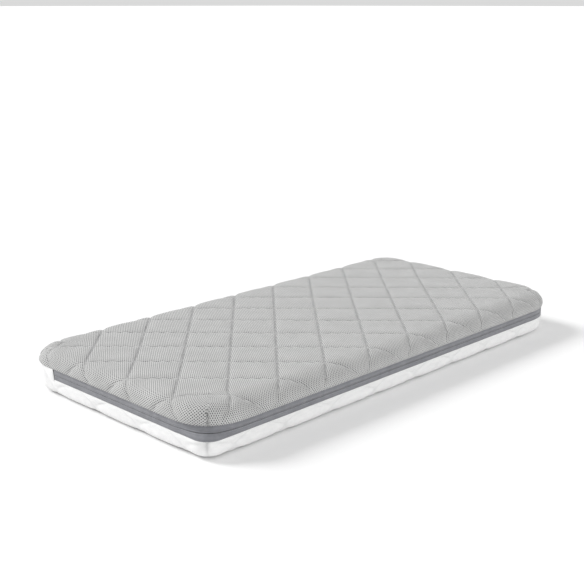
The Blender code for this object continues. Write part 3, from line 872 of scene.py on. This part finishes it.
def nylon_material(name):
    """Nylon monofilament, dyed in the melt: smooth dark grey with a low gloss."""
    made = new_material(name, roughness=0.32, specular=0.5)
    place = add_node(made, "TexCoord").outputs["Object"]
    tone = add_node(made, "TexNoise", inputs={"Vector": place, "Scale": 240.0, "Detail": 2.0})
    ramp = add_node(made, "ValToRGB", inputs={"Fac": tone.outputs["Fac"]})
    return finish_surface(made, set_ramp(ramp, (0.35, "#6B6C71"), (0.65, "#7D7E83")))


coil_look = nylon_material("nylon monofilament, spiral wound, dark grey")
for which in ("lower", "upper"):
    low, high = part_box(f"zip_coil_{which}")
    coil_reach = high[0] - COIL_THICKNESS / 2 - CORE_X
    places, outwards, at = band_route(coil_reach, COIL_PITCH / TURN_POINTS, high[1])
    angle = at / COIL_PITCH * 2 * math.pi + (math.pi if which == "upper" else 0)
    off = band_wave(at) + (COIL_THICKNESS / 2 - WIRE_RADIUS) * np.cos(angle)
    flat = places + outwards * off[:, None]
    heights = (low[2] + high[2]) / 2 + (COIL_HEIGHT / 2 - WIRE_RADIUS) * np.sin(angle)
    line = draw_corners(np.concatenate([flat, heights[:, None]], 1))
    coil = add_piece(f"zip_coil_{which}_spiral", *tube(line, WIRE_RADIUS, WIRE_SIDES), coil_look)
    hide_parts(f"zip_coil_{which}")
    if which == "lower":
        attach(coil, "base")
    else:
        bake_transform(coil)


# ------------------------ zip end tabs
# At each end the zip is closed by a bar tack: a block of tight satin stitches in near-black
# thread over the folded ends of both tapes.
TAB_THREAD = 0.42 * MM

tab_look = thread_material("polyester bar tack thread, near black", "#3E3F43", "#26272A")
for side, name in ((-1, "left"), (1, "right")):
    low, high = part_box(f"zip_end_tab_{name}")
    face = max(abs(low[0]), abs(high[0]))
    heights = np.arange(low[2] + TAB_THREAD, high[2] - TAB_THREAD / 2, 1.7 * TAB_THREAD)
    ys = np.linspace(low[1] - 0.6 * MM, high[1] + 0.3 * MM, 7)
    bow = 0.35 * MM * np.cos(np.linspace(-math.pi / 2, math.pi / 2, 7))
    points, faces = [], []
    for k, height_z in enumerate(heights):
        jitter = 0.25 * MM * lumps(np.array(k * 0.4), np.array(side * 3.0), 1.0, 71)
        line = np.stack([side * (face - 0.85 * MM + bow), ys + jitter,
                         height_z + 0.3 * MM * np.linspace(-1, 1, 7) * (-1) ** k], -1)
        satin_points, satin_faces = tube(line, TAB_THREAD, 6)
        first = k * len(satin_points)
        faces += [[first + index for index in face_points] for face_points in satin_faces]
        points.append(satin_points)
    tab = add_piece(f"zip_end_bar_tack_{name}", np.concatenate(points), faces, tab_look)
    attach(tab, "base")
    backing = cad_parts[f"zip_end_tab_{name}"]
    backing.data.materials.clear()
    backing.data.materials.append(tab_look)


# ------------------------ zip slider and pull
# A die-cast zinc slider and its hanging pull, stove enamelled dark grey.  Fingers and the coils
# have rubbed small spots of them a little brighter.
def enamel_material(name):
    """Stove enamel on zinc: smooth satin grey with a faint orange-peel and worn lighter spots."""
    made = new_material(name, roughness=0.34, specular=0.5, coat=0.3)
    place = add_node(made, "TexCoord").outputs["Object"]
    wear = add_node(made, "TexNoise", inputs={"Vector": place, "Scale": 420.0, "Detail": 5.0})
    ramp = add_node(made, "ValToRGB", inputs={"Fac": wear.outputs["Fac"]})
    bump = add_node(made, "Bump",
                    inputs={"Height": wear.outputs["Fac"], "Strength": 0.15, "Distance": 0.1 * MM})
    paint = set_ramp(ramp, (0.40, "#5F6064"), (0.66, "#74757A"), (0.78, "#9C9DA1"))
    return finish_surface(made, paint, bump)


enamel = enamel_material("zinc die casting, stove enamelled grey")
for node in ("zip_slider", "zip_pull"):
    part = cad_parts[node]
    part.data.materials.clear()
    part.data.materials.append(enamel)


# ------------------------ binding and label
# Inside the back seam a nonwoven binding tape covers the raw edges, and a small blank satin
# label for the care marks is sewn to the top lining by its two short edges.
LABEL_THICKNESS = 0.3 * MM
LABEL_SAG = 0.9 * MM

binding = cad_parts["back_seam_binding"]
binding.data.materials.clear()
binding.data.materials.append(nonwoven)

low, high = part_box("care_label")
label_size = (high[0] - low[0], high[1] - low[1])
label_x, label_y = np.meshgrid(np.linspace(low[0], high[0], 36), np.linspace(low[1], high[1], 24),
                               indexing="ij")
share = (label_x - low[0]) / label_size[0]
sag = LABEL_SAG * np.sin(math.pi * share) ** 2 * (1 + 0.3 * np.sin(9 * label_y / label_size[1]))
label_z = TOP_VALLEY_Z - TOP_UNDER - LINING_GAP - LINING - 0.6 * MM
label_top = np.stack([label_x, label_y, label_z - sag], -1)
label_low = label_top - (0, 0, LABEL_THICKNESS)


def satin_material(name):
    """Polyester satin ribbon: white, with a soft shine along the weave."""
    made = new_material(name, roughness=0.35, sheen=0.3, specular=0.5)
    place = add_node(made, "TexCoord").outputs["Object"]
    # Threads drawn coarser than the real ones, so that they show.
    threads = add_node(made, "TexWave", {"bands_direction": 'Y'},
                       {"Vector": place, "Scale": 1 / (4.0 * MM), "Distortion": 0.4})
    ramp = add_node(made, "ValToRGB", inputs={"Fac": threads.outputs["Fac"]})
    bump = add_node(made, "Bump",
                    inputs={"Height": threads.outputs["Fac"], "Strength": 0.2, "Distance": 0.1 * MM})
    return finish_surface(made, set_ramp(ramp, (0.2, "#E9EAEA"), (0.8, "#F7F7F7")), bump)


label = closed_shell("care_label_blank", label_top, label_low, satin_material("polyester satin ribbon"))
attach(label, "top_flap")
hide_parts("care_label")


# ------------------------ studio
# A plain white floor in an evenly lit pale room, with two wide soft distant lights: a key from
# behind on the left, and a weaker low fill from the front.
CAMERA_PLACE = (-1.738, -1.636, 0.812)
CAMERA_AZIMUTH, CAMERA_ELEVATION = 44.5, -15.44
CAMERA_LENS, CAMERA_SENSOR = 64.4, 36.0  # in mm
FLOOR_REACH = 300.0
ROOM_STRENGTH = 0.70


def look_along(thing, azimuth, elevation):
    """Turns a camera or light to look this way: azimuth from +X towards +Y, in degrees."""
    thing.rotation_mode = 'XYZ'
    thing.rotation_euler = (math.radians(90 + elevation), 0, math.radians(azimuth - 90))


camera = bpy.data.objects.new("camera", bpy.data.cameras.new("camera"))
camera.location = CAMERA_PLACE
look_along(camera, CAMERA_AZIMUTH, CAMERA_ELEVATION)
camera.data.lens = CAMERA_LENS
camera.data.sensor_width = CAMERA_SENSOR
bpy.context.scene.collection.objects.link(camera)
bpy.context.scene.camera = camera

floor_look = new_material("studio floor, painted white", roughness=0.9, specular=0.1)
floor_noise = add_node(floor_look, "TexNoise", inputs={"Scale": 3.0})
floor_ramp = add_node(floor_look, "ValToRGB", inputs={"Fac": floor_noise.outputs["Fac"]})
finish_surface(floor_look, set_ramp(floor_ramp, (0.3, "#F6F6F6"), (0.7, "#F8F8F8")))
floor_corners = [(x * FLOOR_REACH, y * FLOOR_REACH, 0) for x, y in ((-1, -1), (1, -1), (1, 1), (-1, 1))]
floor = add_piece("studio_floor", floor_corners, [(0, 1, 2, 3)], floor_look)

# Each light's name, the way it shines, how wide it is in degrees, and its strength.
LIGHTS = (("key_light", -66.0, -34.0, 22.0, 2.2), ("fill_light", 104.0, -14.0, 40.0, 0.75))
for name, azimuth, elevation, softness, strength in LIGHTS:
    light = bpy.data.objects.new(name, bpy.data.lights.new(name, 'SUN'))
    light.data.angle = math.radians(softness)
    light.data.energy = strength
    look_along(light, azimuth, elevation)
    bpy.context.scene.collection.objects.link(light)

world = bpy.data.worlds.new("white_room")
world.use_nodes = True
background = world.node_tree.nodes["Background"]
background.inputs["Color"].default_value = linear("#FFFFFF")
background.inputs["Strength"].default_value = ROOM_STRENGTH
bpy.context.scene.world = world
bpy.context.scene.view_settings.view_transform = 'Standard'
